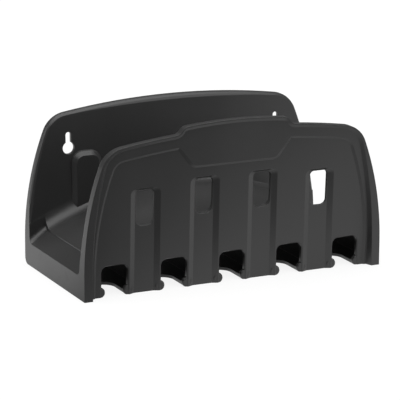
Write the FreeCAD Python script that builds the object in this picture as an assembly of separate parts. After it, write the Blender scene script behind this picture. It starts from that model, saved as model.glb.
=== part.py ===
import FreeCAD, Part
import math
import os

# Wall hanger for a garden hose, moulded in one piece. Millimetres.
# X runs to the viewer's right, Y into the wall, Z up. The wall is the plane Y = 0.
# Heights below are given above the foot; the finished part is then lowered, so that its origin lies on the
# wall midway between the head holes of the two keyholes.

V = FreeCAD.Vector

# Overall form
HALF_WIDTH = 128.0
DEPTH = 123.0
FRONT_CROWN = 125.0
BACK_RISE = 3.1
CROWN_R = 620.0
SHOULDER_R = 22.0
FLANK_START = 20.0
FLANK_R = 240.0

# Raised middle of the front plate's top edge
HUMP_RISE = 6.3
HUMP_R = 400.0
HUMP_CORNER_X = 40.3
HUMP_CORNER_R = 7.0
HUMP_ROOT_R = 7.0

# Hose channel between the two plates, turned about an axis below the part
SADDLE_R = 260.0
SADDLE_TOP = 56.0
BACK_FACE = 9.8
FRONT_FACE = 113.5
BACK_DRAFT = 0.05
FRONT_DRAFT = 0.02
CHANNEL_R = 12.0
END_X = 114.3
END_STEP = 0.8
END_FOOT = 18.7
END_WALL = 32.0
END_R = 5.5
END_SETBACK = 0.35

# Walls
SKIN = 3.0
RIM_WALL = 3.0
BOTTOM_PLATE = 2.6
FRONT_SKIN = 4.0
RIB = 2.4
RIB_SETBACK = 14.0
DRAIN_GAP = 4.0
HEEL_R = 5.5

# Relief of the front plate: insets from its outline and depths. Its face leans forward as it rises.
# The rim is narrow along the top and spreads down the flanks, where its inner edge bends less than the outer one.
FACE_LEAN = 2.0
RIM_LAND = 1.0
RIM_SPREAD = 6.0
RIM_FLATTER = 106.0
WALL_INSET = 3.0
STRIP_DEPTH = 5.8
PANEL_OUTER_INSET = 10.2
PANEL_INNER_INSET = 12.0
PANEL_DEPTH = 1.3
PAD_TOP_HALF = 52.8
PAD_FOOT_HALF = 35.0
PAD_BELOW = 12.3
PAD_HEIGHT = 21.8
PAD_CORNER_R = 7.0

# Grooves down the front plate and the slots in them
PITCH = 50.0
GROOVE_FLOOR_HALF = 8.1
GROOVE_SLOPE = 4.4
GROOVE_TOP_SLOPE = 1.6
GROOVE_DEPTH = 1.8
SLOT_HALF = 7.8
SLOT_FOOT_HALF = 7.2
SLOT_LOW_OUTER = 53.4
SLOT_HIGH_OUTER = 81.8
SLOT_RISE_INNER = 4.1
SLOT_TOP_R = 3.5
SLOT_FOOT_R = 4.8
GROOVE_ABOVE_SLOT = 0.3

# Clips in the foot
CLIP_R = 10.0
CLIP_CENTRE = 93.0
WINDOW_HALF = 11.0
WINDOW_TOP = 24.5
WINDOW_R = 5.0
WINDOW_EDGE = 0.8
NUB_R = 4.1
NUB_REACH = 3.4
NUB_HEIGHT = 3.6
NUB_ROUND = 1.1
NUB_SETBACK = 0.3

# Keyholes and raised pads on the back plate
KEYHOLE_X = 92.5
KEYHOLE_BELOW = 35.6
KEYHOLE_HEAD_R = 5.0
KEYHOLE_SHANK_R = 2.35
KEYHOLE_RISE = 10.6
PILASTER_X = 77.8
PILASTER_HALF = 12.8
PILASTER_BELOW = 38.6
PILASTER_PROUD = 2.9
PILASTER_R = 9.5
PILASTER_SLOPE = 3.2

# Rounding of the plates' outer edges along the channel. It runs out between two heights at the ends.
BACK_EDGE_R = 3.5
FRONT_EDGE_R = 2.5
EDGE_STEPS = 3
EDGE_PAST = 0.4
FADE_TOP = 50.0
FADE_FOOT = 28.0

# Flats that stand for a round corner of the channel, by the front plate and on the hidden side
FRONT_FLATS = 5
HIDDEN_FLATS = 3

# Small reaches past a face, so that a cut always leaves it clean
OVER = 1.0
REACH = 30.0


BACK_CROWN = FRONT_CROWN + BACK_RISE
HUMP_CROWN = FRONT_CROWN + HUMP_RISE
PAD_TOP = HUMP_CROWN - PAD_BELOW
PAD_FOOT = PAD_TOP - PAD_HEIGHT
KEYHOLE_Z = BACK_CROWN - KEYHOLE_BELOW
PILASTER_TOP = BACK_CROWN - PILASTER_BELOW
AXIS_Z = SADDLE_TOP - SADDLE_R
STRIP_Y = -DEPTH + STRIP_DEPTH
PANEL_Y = STRIP_Y + PANEL_DEPTH


def circle_meeting(c1, r1, c2, r2, right):
    """Crossing point of two circles, the right-hand one or the left-hand one."""
    dx = c2[0] - c1[0]
    dz = c2[1] - c1[1]
    d = math.hypot(dx, dz)
    a = (r1 * r1 - r2 * r2 + d * d) / (2 * d)
    h = math.sqrt(r1 * r1 - a * a)
    mx = c1[0] + a * dx / d
    mz = c1[1] + a * dz / d
    one = (mx + h * dz / d, mz - h * dx / d)
    two = (mx - h * dz / d, mz + h * dx / d)
    return max(one, two) if right else min(one, two)


def toward(centre, point, radius):
    """Point at a radius from a centre, on the line through another point."""
    d = math.hypot(point[0] - centre[0], point[1] - centre[1])
    k = radius / d
    return (centre[0] + (point[0] - centre[0]) * k, centre[1] + (point[1] - centre[1]) * k)


def arc_mid(centre, a, b):
    """Middle of the shorter arc from a to b about a centre."""
    mid = ((a[0] + b[0]) / 2, (a[1] + b[1]) / 2)
    return toward(centre, mid, math.hypot(a[0] - centre[0], a[1] - centre[1]))


def right_half(inset, crown, hump, rim):
    """Arcs of the right half of an outline, from the flank up to the top middle.

    It is the plate's own outline, or the rim's inner one.
    """
    half_width = HALF_WIDTH - RIM_SPREAD if rim else HALF_WIDTH
    flank_r = FLANK_R + RIM_FLATTER if rim else FLANK_R
    flank_c = (half_width - flank_r, FLANK_START)
    crown_c = (0.0, crown - CROWN_R)
    corner_c = circle_meeting(flank_c, flank_r - SHOULDER_R, crown_c, CROWN_R - SHOULDER_R, True)
    start = (half_width - inset, FLANK_START)
    flank_end = toward(flank_c, corner_c, flank_r - inset)
    corner_end = toward(crown_c, corner_c, CROWN_R - inset)
    arcs = [(flank_c, start, flank_end), (corner_c, flank_end, corner_end)]
    if not hump:
        arcs.append((crown_c, corner_end, (0.0, crown - inset)))
        return arcs
    hump_c = (0.0, HUMP_CROWN - HUMP_R)
    reach = HUMP_R - HUMP_CORNER_R
    bend_c = (HUMP_CORNER_X, hump_c[1] + math.sqrt(reach ** 2 - HUMP_CORNER_X ** 2))
    root_c = circle_meeting(crown_c, CROWN_R + HUMP_ROOT_R, bend_c, HUMP_CORNER_R + HUMP_ROOT_R, True)
    crown_end = toward(crown_c, root_c, CROWN_R - inset)
    bend_start = toward(bend_c, root_c, HUMP_CORNER_R - inset)
    bend_end = toward(hump_c, bend_c, HUMP_R - inset)
    arcs.append((crown_c, corner_end, crown_end))
    arcs.append((root_c, crown_end, bend_start))
    arcs.append((bend_c, bend_start, bend_end))
    arcs.append((hump_c, bend_end, (0.0, HUMP_CROWN - inset)))
    return arcs


def outline(inset, y, crown, low, hump=False, lean=0.0, rim=False):
    """Closed outline of a plate or of its rim, set in from its edge and cut off level at a height.

    A lean carries its plane back as it rises.
    """
    def at(p, side=1):
        return V(side * p[0], y + lean * p[1], p[1])
    half = right_half(inset, crown, hump, rim)
    foot = (half[0][1][0], low)
    edges = [Part.makeLine(at(foot, -1), at(foot))]
    edges.append(Part.makeLine(at(foot), at(half[0][1])))
    for centre, a, b in half[:-1]:
        edges.append(Part.Arc(at(a), at(arc_mid(centre, a, b)), at(b)).toShape())
    centre, a, b = half[-1]
    edges.append(Part.Arc(at(a), at(b), at(a, -1)).toShape())
    for centre, a, b in reversed(half[:-1]):
        edges.append(Part.Arc(at(b, -1), at(arc_mid(centre, a, b), -1), at(a, -1)).toShape())
    edges.append(Part.makeLine(at(half[0][1], -1), at(foot, -1)))
    return Part.Wire(edges)


def rounded(points, radii, place):
    """Closed wire through corner points, each corner rounded by its radius."""
    n = len(points)
    starts = []
    for i in range(n):
        p = points[i]
        before = points[i - 1]
        after = points[(i + 1) % n]
        r = radii[i]
        if r <= 0:
            starts.append((p, None, p))
            continue
        a = math.atan2(before[1] - p[1], before[0] - p[0])
        b = math.atan2(after[1] - p[1], after[0] - p[0])
        half = abs((b - a + math.pi) % (2 * math.pi) - math.pi) / 2
        cut = r / math.tan(half)
        t1 = (p[0] + cut * math.cos(a), p[1] + cut * math.sin(a))
        t2 = (p[0] + cut * math.cos(b), p[1] + cut * math.sin(b))
        bis = ((t1[0] + t2[0]) / 2, (t1[1] + t2[1]) / 2)
        centre = toward(p, bis, r / math.sin(half))
        starts.append((t1, toward(centre, p, r), t2))
    edges = []
    for i in range(n):
        t1, mid, t2 = starts[i]
        if mid:
            edges.append(Part.Arc(place(t1), place(mid), place(t2)).toShape())
        nxt = starts[(i + 1) % n][0]
        if math.hypot(nxt[0] - t2[0], nxt[1] - t2[1]) > 1e-6:
            edges.append(Part.makeLine(place(t2), place(nxt)))
    return Part.Wire(edges)


def flatted(wire, limit, steps):
    """The same wire with each arc in front of a depth broken into flats."""
    edges = []
    for edge in wire.OrderedEdges:
        if isinstance(edge.Curve, Part.Circle) and edge.BoundBox.YMax < limit:
            points = edge.discretize(steps + 1)
            edges += [Part.makeLine(p, q) for p, q in zip(points, points[1:])]
        else:
            edges.append(edge)
    return Part.Wire(Part.sortEdges(edges)[0])


def prism(wire, vector):
    """Solid made by moving a flat wire along a vector."""
    return Part.Face(wire).extrude(vector)


def plate_prism(inset, y_from, y_to, crown, low, hump=False):
    """Block with the outline of a plate."""
    return prism(outline(inset, y_from, crown, low, hump), V(0, y_to - y_from, 0))


def turned(floor, back, front, radius, hidden=False):
    """Channel profile with drafted walls, turned about the saddle's axis.

    Its round corner by the front plate is made of narrow flats, and on the hidden side both are, of wider ones.
    """
    top = SADDLE_R + BACK_CROWN
    rise = top - floor
    corners = [(back, floor), (front, floor), (front - FRONT_DRAFT * rise, top), (back + BACK_DRAFT * rise, top)]
    wire = rounded(corners, [radius, radius, 0, 0], lambda p: V(0, p[0], AXIS_Z + p[1]))
    limit = 0 if hidden else -DEPTH / 2
    face = Part.Face(flatted(wire, limit, HIDDEN_FLATS if hidden else FRONT_FLATS))
    sweep = math.degrees(math.asin((HALF_WIDTH + REACH) / SADDLE_R))
    face.rotate(V(0, 0, AXIS_Z), V(0, 1, 0), -sweep)
    return face.revolve(V(0, 0, AXIS_Z), V(0, 1, 0), 2 * sweep)


def trough(grow):
    """Hose channel; grow widens it to leave a skin under it."""
    return turned(SADDLE_R - grow, -BACK_FACE + grow, -FRONT_FACE - grow, CHANNEL_R + grow, grow > 0)


def end_trough(side, grow):
    """Sloping run-out at one end of the channel, a little below the saddle."""
    floor_z = AXIS_Z + math.sqrt(SADDLE_R ** 2 - END_X ** 2) - END_STEP
    fall = (floor_z - END_FOOT) / (HALF_WIDTH - END_X)
    floor = floor_z - grow * math.hypot(1.0, fall)
    top = floor_z + END_WALL
    back = -BACK_FACE - END_SETBACK + grow
    front = -FRONT_FACE + END_SETBACK - grow
    corners = [(back, floor), (front, floor),
               (front - FRONT_DRAFT * (top - floor), top), (back + BACK_DRAFT * (top - floor), top)]
    radii = [END_R + grow, END_R + grow, 0, 0]
    start = END_X if grow == 0 else END_X - grow
    lift = fall * (END_X - start)
    wire = rounded(corners, radii, lambda p: V(side * start, p[0], p[1] + lift))
    run = HALF_WIDTH + OVER - start
    return prism(wire, V(side * run, 0, -fall * run))


def body():
    """Outer block with the hose channel taken out of it and the plates' edges rounded."""
    middle = -DEPTH / 2
    back = plate_prism(0, 0, middle, BACK_CROWN, 0)
    front = plate_prism(0, middle, -DEPTH, FRONT_CROWN, 0, True)
    waste = [edge_waste(back, -BACK_FACE, BACK_DRAFT, BACK_EDGE_R, BACK_CROWN, False),
             edge_waste(front, -FRONT_FACE, -FRONT_DRAFT, FRONT_EDGE_R, FRONT_CROWN, True)]
    cutters = [trough(0), end_trough(1, 0), end_trough(-1, 0)] + waste
    return back.fuse(front).cut(cutters).removeSplitter()


def wall_y(face, draft, x, z):
    """Depth of a drafted channel wall at a point."""
    return face + draft * (math.hypot(x, z - AXIS_Z) - SADDLE_R)


def flank_x(z):
    """Half width of the outline at a height on its flank."""
    return HALF_WIDTH - FLANK_R + math.sqrt(FLANK_R ** 2 - (z - FLANK_START) ** 2)


def edge_waste(block, face, draft, radius, crown, hump):
    """What a rounding takes off the edge between a plate's outline and its channel wall."""
    deep = SADDLE_R / 2
    back = -BACK_FACE - BACK_DRAFT * (SADDLE_R - deep)
    front = -FRONT_FACE + FRONT_DRAFT * (SADDLE_R - deep)
    sharp = block.cut(turned(deep, back, front, 0))
    waste = sharp.cut(rounding(face, draft, radius, crown, hump))
    inside = plate_prism(radius + OVER, OVER, -DEPTH - OVER, crown, -REACH, hump)
    return waste.cut([inside] + [fade(side, face, draft, radius) for side in (-1, 1)])


def rounding(face, draft, radius, crown, hump):
    """Stack of tapers whose sides round a plate's outer edge, set along its leaning wall."""
    into = 1 if draft > 0 else -1
    low_y = wall_y(face, draft, HALF_WIDTH, FADE_FOOT)
    lean = (wall_y(face, draft, 0, crown) - low_y) / (crown - FADE_FOOT)
    start_y = low_y - lean * FADE_FOOT
    steps = quarter(radius)
    steps[0] = past(steps[1], steps[0], EDGE_PAST)
    steps[-1] = past(steps[-2], steps[-1], EDGE_PAST)
    rings = [outline(inset, start_y + into * t, crown, -REACH, hump, lean) for inset, t in steps]
    stack = [prism(outline(-2 * OVER, start_y + into * steps[0][1], crown, -REACH, hump, lean),
                   V(0, into * (BACK_FACE + OVER), 0))]
    stack += [taper(a, b) for a, b in zip(rings, rings[1:])]
    return stack[0].fuse(stack[1:])


def quarter(radius):
    """Points of a quarter round: insets from a side, with depths below the face that it meets."""
    turns = [k * math.pi / 2 / EDGE_STEPS for k in range(EDGE_STEPS + 1)]
    return [(radius * (1 - math.cos(a)), radius * (1 - math.sin(a))) for a in turns]


def past(a, b, share):
    """Point on the line from a to b, a share of its length beyond b."""
    return (b[0] + (b[0] - a[0]) * share, b[1] + (b[1] - a[1]) * share)


def fade(side, face, draft, radius):
    """Slanting block that lets a rounding run out to nothing on its way down."""
    into = 1 if draft > 0 else -1
    head = V(side * flank_x(FADE_TOP), wall_y(face, draft, HALF_WIDTH, FADE_TOP), FADE_TOP)
    foot = V(side * flank_x(FADE_FOOT), wall_y(face, draft, HALF_WIDTH, FADE_FOOT), FADE_FOOT)
    inward = V(-side, into, 0).normalize()
    along = V(side, into, 0).normalize()
    start = head + inward * (radius * (math.sqrt(2.0) - 1))
    span = 4 * radius
    a = start - along * span
    b = start + along * span
    wire = Part.makePolygon([a, b, b + inward * span, a + inward * span, a])
    return prism(wire, (foot - start) * 3)


def core():
    """Hollow open to the wall: behind the back plate and under the saddle."""
    block = plate_prism(RIM_WALL, OVER, -DEPTH, BACK_CROWN, BOTTOM_PLATE)
    cutters = [trough(SKIN), end_trough(1, SKIN), end_trough(-1, SKIN), ahead_of(PANEL_Y + FRONT_SKIN)]
    for x in groove_places():
        size_y = DEPTH - RIB_SETBACK
        cutters.append(Part.makeBox(RIB, size_y, HUMP_CROWN, V(x - RIB / 2, -DEPTH, 0)))
    return block.cut(cutters)


def leaned(shape):
    """Turns a shape with the leaning face of the front plate."""
    shape.rotate(V(0, STRIP_Y, 0), V(1, 0, 0), FACE_LEAN)
    return shape


def ahead_of(y):
    """Block that fills the space in front of a leaning plane."""
    half = HALF_WIDTH + REACH
    return leaned(Part.makeBox(2 * half, REACH, HUMP_CROWN + 2 * REACH, V(-half, y - REACH, -REACH)))


def groove_places():
    """Middles of the four grooves, between the five clips."""
    return [PITCH * k for k in (-1.5, -0.5, 0.5, 1.5)]


def clip_places():
    """Middles of the five clips."""
    return [PITCH * k for k in (-2, -1, 0, 1, 2)]


def taper(outer, inner):
    """Solid between two like wires, straight from one to the other."""
    return Part.makeLoft([outer, inner], True, True)


def gate(x, half, low, top, r, y):
    """Door shape standing in a plane of constant Y, with rounded upper corners."""
    corners = [(x - half, low), (x + half, low), (x + half, top), (x - half, top)]
    return rounded(corners, [0, 0, r, r], lambda p: V(p[0], y, p[1]))


def front_relief():
    """Recess inside the rim, and the sunk panel in it with the bare pad left standing."""
    low = -REACH
    mouth = outline(RIM_LAND, -DEPTH - OVER, FRONT_CROWN, low, hump=True, rim=True)
    land = outline(RIM_LAND, -DEPTH, FRONT_CROWN, low, hump=True, rim=True)
    foot = leaned(outline(WALL_INSET, STRIP_Y, FRONT_CROWN, low, hump=True, rim=True))
    recess = taper(mouth, land).fuse(taper(land, foot))
    outer = outline(PANEL_OUTER_INSET, STRIP_Y, FRONT_CROWN, low)
    inner = outline(PANEL_INNER_INSET, PANEL_Y, FRONT_CROWN, low)
    panel = leaned(taper(outer, inner).cut(pad(STRIP_Y, PANEL_Y)))
    return recess, panel


def pad(strip_y, panel_y):
    """Bare raised pad under the hump, with sloping sides."""
    spread = PANEL_INNER_INSET - PANEL_OUTER_INSET
    def ring(grow, y):
        corners = [(-PAD_FOOT_HALF - grow, PAD_FOOT - grow), (PAD_FOOT_HALF + grow, PAD_FOOT - grow),
                   (PAD_TOP_HALF + grow, PAD_TOP), (-PAD_TOP_HALF - grow, PAD_TOP)]
        r = PAD_CORNER_R + grow
        return rounded(corners, [r, r, 0, 0], lambda p: V(p[0], y, p[1]))
    return taper(ring(0, strip_y), ring(spread, panel_y))


def slot_heights(x):
    """Bottom and top of the slot in the groove at x."""
    rise = SLOT_RISE_INNER if abs(x) < PITCH else 0.0
    return SLOT_LOW_OUTER + rise, SLOT_HIGH_OUTER + rise


def grooves():
    """Shallow grooves with sloping sides, from above each slot down to the foot."""
    made = []
    for x in groove_places():
        top = slot_heights(x)[1] + GROOVE_ABOVE_SLOT
        wide = GROOVE_FLOOR_HALF + GROOVE_SLOPE
        outer = gate(x, wide, -REACH, top + GROOVE_TOP_SLOPE, SLOT_TOP_R + GROOVE_TOP_SLOPE, PANEL_Y)
        inner = gate(x, GROOVE_FLOOR_HALF, -REACH, top, SLOT_TOP_R, PANEL_Y + GROOVE_DEPTH)
        made.append(leaned(taper(outer, inner)))
    return made


def slots():
    """Tapered openings through the groove floors, with rounded corners."""
    made = []
    for x in groove_places():
        low, high = slot_heights(x)
        corners = [(x - SLOT_FOOT_HALF, low), (x + SLOT_FOOT_HALF, low), (x + SLOT_HALF, high), (x - SLOT_HALF, high)]
        radii = [SLOT_FOOT_R, SLOT_FOOT_R, SLOT_TOP_R, SLOT_TOP_R]
        wire = rounded(corners, radii, lambda p: V(p[0], -DEPTH, p[1]))
        made.append(prism(wire, V(0, DEPTH - FRONT_FACE + CHANNEL_R, 0)))
    return made


def windows():
    """Openings of the clips through the front wall, with a broken edge."""
    near = STRIP_Y - OVER
    far = PANEL_Y + WINDOW_EDGE * 1.5
    made = []
    for x in clip_places():
        wire = gate(x, WINDOW_HALF, -OVER, WINDOW_TOP, WINDOW_R, -DEPTH)
        made.append(prism(wire, V(0, DEPTH + PANEL_Y + FRONT_SKIN + OVER, 0)))
        ends = []
        for y in (near, far):
            grow = PANEL_Y + WINDOW_EDGE - y
            ends.append(gate(x, WINDOW_HALF + grow, -OVER, WINDOW_TOP + grow, WINDOW_R + grow, y))
        made.append(leaned(taper(ends[0], ends[1])))
    return made


def pockets():
    """U-shaped cut-outs of the clips in the bottom plate."""
    made = []
    for x in clip_places():
        front = -DEPTH
        end = -CLIP_CENTRE + CLIP_R
        corners = [(x - CLIP_R, front), (x + CLIP_R, front), (x + CLIP_R, end), (x - CLIP_R, end)]
        r = CLIP_R - 0.01
        wire = rounded(corners, [0, 0, r, r], lambda p: V(p[0], p[1], -OVER))
        made.append(prism(wire, V(0, 0, BOTTOM_PLATE + 2 * OVER)))
    return made


def nubs():
    """Rounded snap nubs on both sides of each mouth."""
    front = PANEL_Y + NUB_SETBACK
    length = FRONT_SKIN - NUB_SETBACK
    half = length / 2
    made = []
    for x in clip_places():
        for side in (-1, 1):
            centre = V(x + side * (WINDOW_HALF - NUB_REACH + NUB_R), front + half, NUB_HEIGHT)
            bend = [(NUB_R - NUB_ROUND * (1 - math.cos(a)), half - NUB_ROUND * (1 - math.sin(a)))
                    for a in (0, math.pi / 4, math.pi / 2)]
            side_line = [(0, -half)] + [(r, -y) for r, y in reversed(bend)] + bend + [(0, half)]
            points = [centre + V(r, y, 0) for r, y in side_line]
            nub = Part.Face(Part.makePolygon(points + points[:1])).revolve(centre, V(0, 1, 0), 360)
            keep = Part.makeBox(2 * NUB_R, length, 2 * NUB_R, centre - V(NUB_R, half, NUB_HEIGHT))
            made.append(nub.common(keep))
    return made


def keyholes():
    """Keyholes through the back plate."""
    made = []
    for side in (-1, 1):
        x = side * KEYHOLE_X
        top = KEYHOLE_Z + KEYHOLE_RISE
        head = Part.makeCylinder(KEYHOLE_HEAD_R, BACK_FACE + REACH, V(x, OVER, KEYHOLE_Z), V(0, -1, 0))
        end = Part.makeCylinder(KEYHOLE_SHANK_R, BACK_FACE + REACH, V(x, OVER, top), V(0, -1, 0))
        size = V(2 * KEYHOLE_SHANK_R, BACK_FACE + REACH, KEYHOLE_RISE)
        run = Part.makeBox(size.x, size.y, size.z, V(x - KEYHOLE_SHANK_R, OVER - size.y, KEYHOLE_Z))
        made.append(head.fuse([end, run]))
    return made


def pilasters():
    """Raised pads with sloping sides that stand from the saddle up the back plate, and the cores behind them."""
    low = SADDLE_TOP / 2
    deep = BACK_FACE + PILASTER_PROUD
    inner = PILASTER_X - PILASTER_HALF
    core_low = AXIS_Z + math.sqrt(SADDLE_R ** 2 - inner ** 2) + SKIN
    pads = []
    cores = []
    for side in (-1, 1):
        x = side * PILASTER_X
        foot = gate(x, PILASTER_HALF, low, PILASTER_TOP, PILASTER_R, PILASTER_SLOPE - deep)
        face = gate(x, PILASTER_HALF - PILASTER_SLOPE, low, PILASTER_TOP - PILASTER_SLOPE,
                    PILASTER_R - PILASTER_SLOPE, -deep)
        block = prism(foot, V(0, deep - PILASTER_SLOPE - RIM_WALL, 0))
        pads.append(block.fuse(taper(foot, face)))
        hollow = gate(x, PILASTER_HALF - SKIN, core_low, PILASTER_TOP - SKIN, PILASTER_R - SKIN, OVER)
        cores.append(prism(hollow, V(0, SKIN - deep - OVER, 0)))
    return pads, cores


def heel():
    """Waste outside the rounded lower edge at the wall."""
    corner = Part.makeBox(2 * HALF_WIDTH + 2 * OVER, HEEL_R + OVER, HEEL_R + OVER,
                          V(-HALF_WIDTH - OVER, -HEEL_R, -OVER))
    rod = Part.makeCylinder(HEEL_R, 2 * HALF_WIDTH + 4 * OVER, V(-HALF_WIDTH - 2 * OVER, -HEEL_R, HEEL_R), V(1, 0, 0))
    return corner.cut(rod)


def drain():
    """Gap behind the bottom plate, between the end walls."""
    width = 2 * (HALF_WIDTH - RIM_WALL)
    return Part.makeBox(width, DRAIN_GAP + OVER, BOTTOM_PLATE + 2 * OVER, V(-width / 2, -DRAIN_GAP, -OVER))


def hanger():
    """Whole hanger as one solid."""
    pads, hollows = pilasters()
    shape = body().fuse(pads)
    shape = shape.cut([core(), drain(), heel()] + hollows)
    shape = shape.cut(front_relief())
    shape = shape.cut(grooves() + slots() + windows() + pockets() + keyholes())
    shape = shape.fuse(nubs())
    solid = shape.removeSplitter().Solids[0]
    solid.translate(V(0, 0, -KEYHOLE_Z))
    return solid


os.makedirs("parts", exist_ok=True)
hanger().exportStep("parts/hose_hanger.step")
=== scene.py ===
# %% [markdown]
# # A moulded hanger for a garden hose
# The real hanger is one piece of dark grey plastic, shot in one mould: an arched saddle between
# two plates, with clips for hose connectors along its foot. It could be modelled here with bmesh,
# but its solid already comes from CAD with exact faces and exact normals, so it stays as it is and
# keeps its place. Blender gives it its finish, a white table, soft lamps and the camera.
#
# All lengths are in metres. The origin lies on the wall between the two keyholes, X runs to the
# right, Y into the wall and Z up.

import math

import bmesh
import bpy
from mathutils import Matrix, Vector


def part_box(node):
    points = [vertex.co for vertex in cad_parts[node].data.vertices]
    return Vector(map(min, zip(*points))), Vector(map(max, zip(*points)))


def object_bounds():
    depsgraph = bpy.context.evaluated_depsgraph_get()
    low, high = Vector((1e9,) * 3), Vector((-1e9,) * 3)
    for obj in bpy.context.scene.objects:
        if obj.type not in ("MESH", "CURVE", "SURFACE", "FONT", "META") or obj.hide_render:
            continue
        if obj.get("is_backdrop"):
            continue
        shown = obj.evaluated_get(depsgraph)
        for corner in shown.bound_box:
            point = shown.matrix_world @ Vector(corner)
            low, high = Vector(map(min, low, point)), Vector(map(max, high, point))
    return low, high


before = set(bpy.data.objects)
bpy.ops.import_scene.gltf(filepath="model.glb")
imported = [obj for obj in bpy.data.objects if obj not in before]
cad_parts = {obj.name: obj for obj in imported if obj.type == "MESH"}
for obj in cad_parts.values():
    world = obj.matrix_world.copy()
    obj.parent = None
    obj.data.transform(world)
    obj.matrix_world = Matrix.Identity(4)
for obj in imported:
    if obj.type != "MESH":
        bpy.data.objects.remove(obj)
loaded_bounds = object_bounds()
print("nodes:", sorted(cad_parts))

# %% [markdown]
# The rest of the script needs to know how far the foot lies below the origin, because the table
# goes there. It is read from the part and not typed in, so that it follows when the solid changes.

# %% Read the sizes
MM_PER_M = 1000
low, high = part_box("hose_hanger")
FOOT_Z = low[2]
sides = [round(MM_PER_M * (high[axis] - low[axis]), 1) for axis in range(3)]
print("width, depth and height in mm:", sides)
print("foot below the origin in mm:", round(-MM_PER_M * FOOT_Z, 1))

# %% [markdown]
# ## The plastic
# The part is moulded in plastic that is coloured through with a nearly black pigment, and its skin
# is a fine matt texture. Little light comes back from inside, so most of what the eye sees is the
# sheen of the skin: weak where a face is seen straight on, and much stronger where it is seen at a
# slant. One Principled shader has both, so the work goes into what feeds it.
#
# Every pattern reads the part's own Object coordinates. It stays in place on the plastic when the
# camera moves, and it needs no unwrapped map.

# %% Start the material
PLASTIC_IOR = 1.55


def new_material(name):
    """Material with an empty node tree."""
    made = bpy.data.materials.new(name)
    made.use_nodes = True
    made.node_tree.nodes.clear()
    return made


def node(tree, kind, **settings):
    """Adds a node and sets its properties."""
    made = tree.nodes.new(kind)
    for key, value in settings.items():
        setattr(made, key, value)
    return made


plastic = new_material("moulded_plastic")
tree = plastic.node_tree
shader = node(tree, "ShaderNodeBsdfPrincipled")
shader.inputs["IOR"].default_value = PLASTIC_IOR
surface = node(tree, "ShaderNodeOutputMaterial").inputs["Surface"]
tree.links.new(shader.outputs["BSDF"], surface)
coords = node(tree, "ShaderNodeTexCoord").outputs["Object"]
print("material:", plastic.name, "with an index of refraction of", PLASTIC_IOR)

# %% [markdown]
# ### Soft edges
# A mould is cut with small radii, and plastic shrinks away from it, so no edge of the real part is
# sharp: each one catches a thin line of light. A Bevel modifier could round the mesh, but on the
# loose triangles of a CAD mesh it leaves faults. The Bevel node rounds only the normals, at render
# time, and leaves the faces alone.

# %% Soften the edges
EDGE_SOFTNESS = 0.0006
EDGE_SAMPLES = 8
soft = node(tree, "ShaderNodeBevel", samples=EDGE_SAMPLES)
soft.inputs["Radius"].default_value = EDGE_SOFTNESS
print("edge radius in mm:", round(MM_PER_M * EDGE_SOFTNESS, 2))

# %% [markdown]
# ### Lighter edges: wear and a painted highlight
# Hoses and hands rub the edges first, and each edge also catches a thin line of light, which is
# painted on here as well: the edges get a lighter colour for both. To find them, the softened
# normal is compared with the face's own: on a flat face they agree and their dot product is 1, and
# on an edge it drops. That becomes a mask, which runs from 0 on the faces to 1 on the sharpest
# edges.

# %% Find the edges
FULL = (0.0, 1.0)
EDGE_DOT = (0.97, 0.80)


def remap(tree, value, source, target):
    """Carries a value over from one range to another."""
    step = node(tree, "ShaderNodeMapRange")
    for end, number in zip(("From Min", "From Max", "To Min", "To Max"), source + target):
        step.inputs[end].default_value = number
    tree.links.new(value, step.inputs["Value"])
    return step.outputs["Result"]


agree = node(tree, "ShaderNodeVectorMath", operation="DOT_PRODUCT")
tree.links.new(soft.outputs["Normal"], agree.inputs[0])
tree.links.new(node(tree, "ShaderNodeNewGeometry").outputs["Normal"], agree.inputs[1])
edges = remap(tree, agree.outputs["Value"], EDGE_DOT, FULL)
turned = [round(math.degrees(math.acos(dot))) for dot in EDGE_DOT]
print("wear starts and is full where the normal has turned by", turned, "degrees")

# %% [markdown]
# ### Colour
# The pigment is mixed in as grains, and the melt carries it in slow streaks, so the grey drifts a
# little over the part. A wide noise, drawn out along the height, gives the drift. The edges are a
# shade lighter: partly wear, and partly a painted highlight.

# %% Mix the colour
DARK_GREY = 0.027
LIGHT_GREY = 0.033
# How much lighter the edges are: wear together with a painted edge highlight.
EDGE_WEAR_AND_HIGHLIGHT = 0.010
FLOW_SCALE = 14.0
FLOW_DETAIL = 2.0
FLOW_STRETCH = (1, 1, 0.35)
FLOW_RANGE = (0.3, 0.7)


def noise(tree, coords, scale, detail, stretch=(1, 1, 1)):
    """Noise pattern over the part. A number below 1 in stretch draws it out along that axis."""
    mapping = node(tree, "ShaderNodeMapping")
    mapping.inputs["Scale"].default_value = stretch
    tree.links.new(coords, mapping.inputs["Vector"])
    pattern = node(tree, "ShaderNodeTexNoise")
    pattern.inputs["Scale"].default_value = scale
    pattern.inputs["Detail"].default_value = detail
    tree.links.new(mapping.outputs["Vector"], pattern.inputs["Vector"])
    return pattern.outputs["Fac"]


def add(tree, a, b):
    """Sum of two values."""
    step = node(tree, "ShaderNodeMath", operation="ADD")
    tree.links.new(a, step.inputs[0])
    tree.links.new(b, step.inputs[1])
    return step.outputs["Value"]


flow = noise(tree, coords, FLOW_SCALE, FLOW_DETAIL, FLOW_STRETCH)
pigment = remap(tree, flow, FLOW_RANGE, (DARK_GREY, LIGHT_GREY))
# Lighter colour on the edges: wear, and a painted highlight along each edge.
wear_and_edge_highlight = remap(tree, edges, FULL, (0.0, EDGE_WEAR_AND_HIGHLIGHT))
tree.links.new(add(tree, pigment, wear_and_edge_highlight), shader.inputs["Base Color"])
print("grey from", DARK_GREY, "to", LIGHT_GREY, "and", EDGE_WEAR_AND_HIGHLIGHT, "more on edges")

# %% [markdown]
# ### Gloss
# Where the melt cooled more slowly, it copied the mould's texture better and is more matt, so the
# gloss drifts with the flow as well. Over that lie faint marks from hoses that were pulled along
# the plates: a finer noise, drawn out along X, of which only the peaks are kept.

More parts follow.
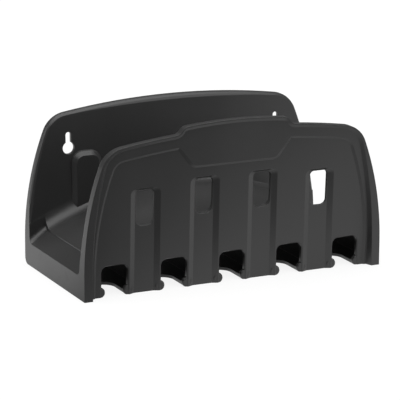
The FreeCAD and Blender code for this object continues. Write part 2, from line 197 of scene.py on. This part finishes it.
# %% Set the gloss
SMOOTHEST = 0.34
MATTEST = 0.40
MARK_DEPTH = 0.08
MARK_SCALE = 110.0
MARK_DETAIL = 6.0
MARK_STRETCH = (0.12, 1, 1)
MARK_PEAKS = (0.62, 0.8)
skin = remap(tree, flow, FLOW_RANGE, (SMOOTHEST, MATTEST))
streaks = noise(tree, coords, MARK_SCALE, MARK_DETAIL, MARK_STRETCH)
marks = remap(tree, streaks, MARK_PEAKS, (0.0, MARK_DEPTH))
tree.links.new(add(tree, skin, marks), shader.inputs["Roughness"])
print("roughness from", SMOOTHEST, "to", MATTEST, "and up to", MARK_DEPTH, "more in the marks")

# %% [markdown]
# ### Grain
# The mould is etched, which leaves grains of about half a millimetre, a few hundredths deep.
# Grains that small would take millions of faces, and they never show in the outline, so they are a
# bump. It builds on the softened normal, so that edges stay soft.

# %% Etch the grain
GRAIN_DEPTH = 0.00004
GRAIN_STRENGTH = 0.5
GRAIN_SCALE = 1500.0
GRAIN_DETAIL = 3.0
grain = node(tree, "ShaderNodeBump")
grain.inputs["Strength"].default_value = GRAIN_STRENGTH
grain.inputs["Distance"].default_value = GRAIN_DEPTH
tree.links.new(noise(tree, coords, GRAIN_SCALE, GRAIN_DETAIL), grain.inputs["Height"])
tree.links.new(soft.outputs["Normal"], grain.inputs["Normal"])
tree.links.new(grain.outputs["Normal"], shader.inputs["Normal"])
print("grain depth in mm:", round(MM_PER_M * GRAIN_DEPTH, 3))

# %% [markdown]
# ### Onto the part
# The solid is used as it was packed: the material takes the place of the plain one that it came
# with, and its mesh isn't touched.

# %% Finish the part
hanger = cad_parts["hose_hanger"]
hanger.data.materials.clear()
hanger.data.materials.append(plastic)
print("faces with the new finish:", len(hanger.data.polygons))

# %% [markdown]
# ## The table
# The part stands on a wide white table. One large face is enough, and it reaches so far that it
# fills the view from every angle above it. It lies a tenth of a millimetre below the foot: two
# faces in one plane would fight over which of them shows.

# %% Build the table
TABLE_REACH = 40.0
TABLE_GAP = 0.0001
table_place = Matrix.Translation((0, 0, FOOT_Z - TABLE_GAP))
shape = bmesh.new()
bmesh.ops.create_grid(shape, x_segments=1, y_segments=1, size=TABLE_REACH, matrix=table_place)
table_mesh = bpy.data.meshes.new("table")
shape.to_mesh(table_mesh)
shape.free()
table = bpy.data.objects.new("table", table_mesh)
bpy.context.collection.objects.link(table)
table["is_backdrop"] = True
print("table reaches", TABLE_REACH, "m each way")

# %% [markdown]
# ### White paint
# Under plain light a table comes out grey next to a nearly black part, and more light would wash
# the plastic out. So the table's paint has two layers: a matt one, which takes the lamps and the
# part's shadow, and a glow that only the camera, mirrored rays and rays through glass can see. The
# glow brings the table and its mirror image up to white and throws no light on the part.

# %% Paint the table
TABLE_GREY = 0.14
paint = new_material("table_paint")
tree = paint.node_tree
matt = node(tree, "ShaderNodeBsdfDiffuse")
matt.inputs["Color"].default_value = (TABLE_GREY, TABLE_GREY, TABLE_GREY, 1)
glow = node(tree, "ShaderNodeEmission")
layers = node(tree, "ShaderNodeAddShader")
tree.links.new(matt.outputs["BSDF"], layers.inputs[0])
tree.links.new(glow.outputs["Emission"], layers.inputs[1])
surface = node(tree, "ShaderNodeOutputMaterial").inputs["Surface"]
tree.links.new(layers.outputs["Shader"], surface)
table_mesh.materials.append(paint)
print("the table's matt layer:", TABLE_GREY)

# %% [markdown]
# ### The shaded corner
# In its mirror image on the plastic, the table is bright behind the part and on its right, and
# falls into shade in front of it on the left: that is what makes the front plate grow lighter from
# left to right. A ramp across the table, in the table's own coordinates, fades the glow there for
# mirrored rays. The camera sees the full glow everywhere.

# %% Fade the glow in reflections
TABLE_GLOW = 0.87
BRIGHT_SIDE = (0.7, 0.7, 0)
SHADE_TO_BRIGHT = (-0.22, -0.10)
place = node(tree, "ShaderNodeTexCoord").outputs["Object"]
across = node(tree, "ShaderNodeVectorMath", operation="DOT_PRODUCT")
across.inputs[1].default_value = BRIGHT_SIDE
tree.links.new(place, across.inputs[0])
fade = remap(tree, across.outputs["Value"], SHADE_TO_BRIGHT, FULL)

path = node(tree, "ShaderNodeLightPath")
indirect = add(tree, path.outputs["Is Glossy Ray"], path.outputs["Is Transmission Ray"])
mirrored = node(tree, "ShaderNodeMath", operation="MULTIPLY")
tree.links.new(indirect, mirrored.inputs[0])
tree.links.new(fade, mirrored.inputs[1])
seen = add(tree, path.outputs["Is Camera Ray"], mirrored.outputs["Value"])
tree.links.new(remap(tree, seen, FULL, (0.0, TABLE_GLOW)), glow.inputs["Strength"])
print("the table's glow:", TABLE_GLOW, "and its mirror image fades over", SHADE_TO_BRIGHT, "m")

# %% [markdown]
# ## The light
# The room itself gives a weak, even light, so that no hollow goes fully black. It is a plain world
# colour: a picture of a studio would give livelier reflections, but it would have to be loaded
# from a file.

# %% Light the room
ROOM_LIGHT = 0.1
world = bpy.data.worlds.new("studio")
bpy.context.scene.world = world
world.use_nodes = True
tree = world.node_tree
tree.nodes.clear()
room = node(tree, "ShaderNodeBackground")
room.inputs["Color"].default_value = (1, 1, 1, 1)
room.inputs["Strength"].default_value = ROOM_LIGHT
surface = node(tree, "ShaderNodeOutputWorld").inputs["Surface"]
tree.links.new(room.outputs["Background"], surface)
print("room light:", ROOM_LIGHT)

# %% [markdown]
# The rest comes from three wide soft lamps. They are sun lamps with a large angle: their light is
# as strong everywhere on the table, where a lamp close by would leave it darker further off. The
# strongest hangs overhead and lights the saddle. One in front on the right models the grooves, and
# a weak one on the left lifts the end face and the rims.

# %% Hang the lamps
def soft_lamp(name, side, spread, strength):
    """Sun lamp that shines from one side of the part, as wide as its spread in degrees."""
    lamp = bpy.data.lights.new(name, "SUN")
    lamp.angle = math.radians(spread)
    lamp.energy = strength
    holder = bpy.data.objects.new(name, lamp)
    # A sun lamp shines along its own -Z, so its Z points to the side that the light comes from.
    holder.rotation_euler = Vector(side).to_track_quat("Z", "Y").to_euler()
    bpy.context.collection.objects.link(holder)
    # A white face shows its full white at a strength of pi, met straight on.
    share = strength * Vector(side).normalized().z / math.pi
    print(name, "gives a level face", round(share, 2), "of the light that full white needs")


soft_lamp("overhead", side=(-0.1, 0.0, 1), spread=85, strength=3.0)
soft_lamp("front_right", side=(0.5, -0.7, 0.45), spread=50, strength=1.0)
soft_lamp("left_side", side=(-0.9, 0.3, 0.3), spread=40, strength=0.7)

# %% [markdown]
# ## The camera
# The photograph was taken with a long lens, from the left and a little above: upright edges stay
# nearly parallel. So the camera stands two metres away. Its direction is given by two angles, and
# a small roll levels the foot as in the photograph. A Track To constraint could aim it, but that
# knows no roll, so the camera's three axes are worked out here: one back from the part towards the
# camera, one to the right and one up.

# %% Turn the camera
AZIMUTH = math.radians(-25.47)
ELEVATION = math.radians(14.51)
ROLL = math.radians(0.26)
flat = math.cos(ELEVATION)
back = Vector((math.sin(AZIMUTH) * flat, -math.cos(AZIMUTH) * flat, math.sin(ELEVATION)))
right = Vector((math.cos(AZIMUTH), math.sin(AZIMUTH), 0))
up = back.cross(right)
rolled_right = right * math.cos(ROLL) + up * math.sin(ROLL)
rolled_up = up * math.cos(ROLL) - right * math.sin(ROLL)
turn = Matrix((rolled_right, rolled_up, back)).transposed().to_4x4()
print("the camera looks along", [round(-v, 3) for v in back])

# %% [markdown]
# The lens is as long as it has to be for the part to fill the frame from there, and the aim, a
# point a little to the right of the origin and above the foot, puts the part where it is in the
# frame. The view transform is Standard, which shows colours as they are lit. The usual one, AgX,
# would grey the white table.

# %% Set up the camera
DISTANCE = 2.01084
LENS_MM = 219.05
SENSOR_MM = 36.0
AIM_RIGHT = 0.0272
AIM_BACK = 0.0001
AIM_HEIGHT = 0.0352
aim = Vector((AIM_RIGHT, AIM_BACK, FOOT_Z + AIM_HEIGHT))
lens = bpy.data.cameras.new("camera")
lens.sensor_width = SENSOR_MM
lens.lens = LENS_MM
camera = bpy.data.objects.new("camera", lens)
camera.matrix_world = Matrix.Translation(aim + back * DISTANCE) @ turn
bpy.context.collection.objects.link(camera)
bpy.context.scene.camera = camera
bpy.context.scene.view_settings.view_transform = "Standard"
print("camera at", [round(v, 3) for v in camera.location], "m")
print("field of view in degrees:", round(math.degrees(lens.angle), 2))

# %% [markdown]
# ## The part's size
# The finish is not meant to change how large the part is. The box from straight after loading and
# the one from now are printed side by side.

# %% Print the boxes
final_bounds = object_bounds()
boxes = {
    "loaded": [list(v) for v in loaded_bounds],
    "finished": [list(v) for v in final_bounds],
}
for when, box in boxes.items():
    print("box", when + ":", [[round(c, 4) for c in corner] for corner in box])
